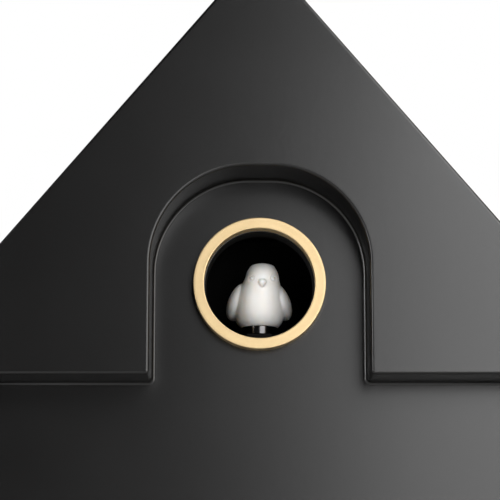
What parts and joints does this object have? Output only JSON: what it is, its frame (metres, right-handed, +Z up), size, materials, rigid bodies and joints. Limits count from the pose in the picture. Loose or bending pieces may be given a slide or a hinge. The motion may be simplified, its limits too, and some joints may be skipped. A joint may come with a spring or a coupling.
{
  "type": "cuckoo clock",
  "caption": "House-shaped quartz cuckoo clock with a raised gable, a brass porthole with a sliding bird, and a round dial with two hands.",
  "frame": {"origin": "middle of the footprint, at the underside of the feet", "axes": "+X to the viewer's right, +Y from the front to the wall, +Z up"},
  "size_m": [0.3, 0.118, 0.45],
  "materials": {
    "black_lacquer": "satin black lacquer on fibreboard, fine orange peel",
    "black_paint": "matt black paint on fibreboard",
    "brass": "satin turned",
    "white_resin": "satin moulded",
    "black_plastic": "fine matt moulded",
    "grey_plastic": "moulded",
    "white_plastic": "moulded",
    "steel": "zinc plated",
    "copper_wire": "enamelled winding wire",
    "rubber": "soft matt",
    "fibreboard": "raw sawn",
    "circuit_board": "solder mask",
    "paper_cone": "pressed paper",
    "cell_jacket": "glossy printed sleeve"
  },
  "bodies": {
    "case": {"front_panel": "black_lacquer", "pediment_panel": "black_lacquer", "left_side_wall": "black_lacquer", "right_side_wall": "black_lacquer", "left_roof_board": "black_lacquer", "right_roof_board": "black_lacquer", "bottom_board": "black_lacquer", "foot_front_left": "rubber", "foot_front_right": "rubber", "foot_rear_left": "rubber", "foot_rear_right": "rubber", "back_panel": "black_paint", "left_batten": "fibreboard", "right_batten": "fibreboard", "back_screw_1": "steel", "back_screw_2": "steel", "back_screw_3": "steel", "back_screw_4": "steel", "keyhole_hanger": "steel", "porthole_ring": "brass", "chapter_ring": "brass", "bird_hood": "black_plastic", "mechanism_base": "black_plastic", "guide_rod_left": "steel", "guide_rod_right": "steel", "gearbox_housing": "grey_plastic", "motor_can": "steel", "home_sensor": "black_plastic", "movement_base": "black_plastic", "movement_cover": "black_plastic", "coil_bobbin": "copper_wire", "stator_plate": "steel", "movement_cell": "cell_jacket", "fixing_nut": "brass", "battery_box": "black_plastic", "battery_cell_1": "cell_jacket", "battery_cell_2": "cell_jacket", "speaker_basket": "steel", "speaker_magnet": "grey_plastic", "speaker_cone": "paper_cone", "control_board": "circuit_board"},
    "minute_train": {"minute_arbor": "steel", "cannon_pinion": "brass", "centre_wheel": "white_plastic", "minute_hand": "brass", "hand_cap": "brass", "setting_knob": "grey_plastic"},
    "hour_train": {"hour_wheel": "brass", "hour_hand": "brass"},
    "minute_wheel": {"minute_wheel": "white_plastic"},
    "third_wheel": {"third_wheel": "white_plastic"},
    "rotor": {"rotor": "grey_plastic"},
    "bird": {"bird_carriage": "grey_plastic", "bird_pedestal": "black_plastic", "bird_figure": "white_resin"},
    "pinion": {"drive_pinion": "brass", "pinion_shaft": "steel"},
    "battery_cover": {"battery_cover": "black_plastic"},
    "volume_slider": {"volume_slider": "white_plastic"},
    "demo_button": {"demo_button": "white_plastic"}
  },
  "joints": [
    {"name": "minute_turn", "type": "hinge", "parent": "case", "child": "minute_train", "pos_m": [0, -0.03, 0.112], "axis": [0, 1, 0], "continuous": true},
    {"name": "hour_turn", "type": "hinge", "parent": "case", "child": "hour_train", "pos_m": [0, -0.03, 0.112], "axis": [0, 1, 0], "continuous": true},
    {"name": "minute_wheel_turn", "type": "hinge", "parent": "case", "child": "minute_wheel", "pos_m": [-0.012, -0.011, 0.112], "axis": [0, 1, 0], "continuous": true},
    {"name": "third_wheel_turn", "type": "hinge", "parent": "case", "child": "third_wheel", "pos_m": [0.014, -0.007, 0.112], "axis": [0, 1, 0], "continuous": true},
    {"name": "rotor_spin", "type": "hinge", "parent": "case", "child": "rotor", "pos_m": [0.016, -0.01, 0.1275], "axis": [0, 1, 0], "continuous": true},
    {"name": "bird_slide", "type": "slide", "parent": "case", "child": "bird", "axis": [0, -1, 0], "range_m": [0, 0.034]},
    {"name": "pinion_turn", "type": "hinge", "parent": "case", "child": "pinion", "pos_m": [0, -0.003, 0.26685], "axis": [1, 0, 0], "range_deg": [0, 330]},
    {"name": "battery_door", "type": "hinge", "parent": "case", "child": "battery_cover", "pos_m": [0.084, 0.0542, 0.0912], "axis": [-1, 0, 0], "range_deg": [0, 110]},
    {"name": "volume_slide", "type": "slide", "parent": "case", "child": "volume_slider", "axis": [1, 0, 0], "range_m": [-0.004, 0.004]},
    {"name": "demo_press", "type": "slide", "parent": "case", "child": "demo_button", "axis": [0, -1, 0], "range_m": [0, 0.0015], "stiffness_N_per_m": 300}
  ],
  "couplings": [
    {"joint": "hour_turn", "follows": "minute_turn", "ratio": 0.083333},
    {"joint": "minute_wheel_turn", "follows": "minute_turn", "ratio": -0.33333},
    {"joint": "third_wheel_turn", "follows": "minute_turn", "ratio": -6},
    {"joint": "pinion_turn", "follows": "bird_slide", "rad_per_m": 166.67}
  ]
}
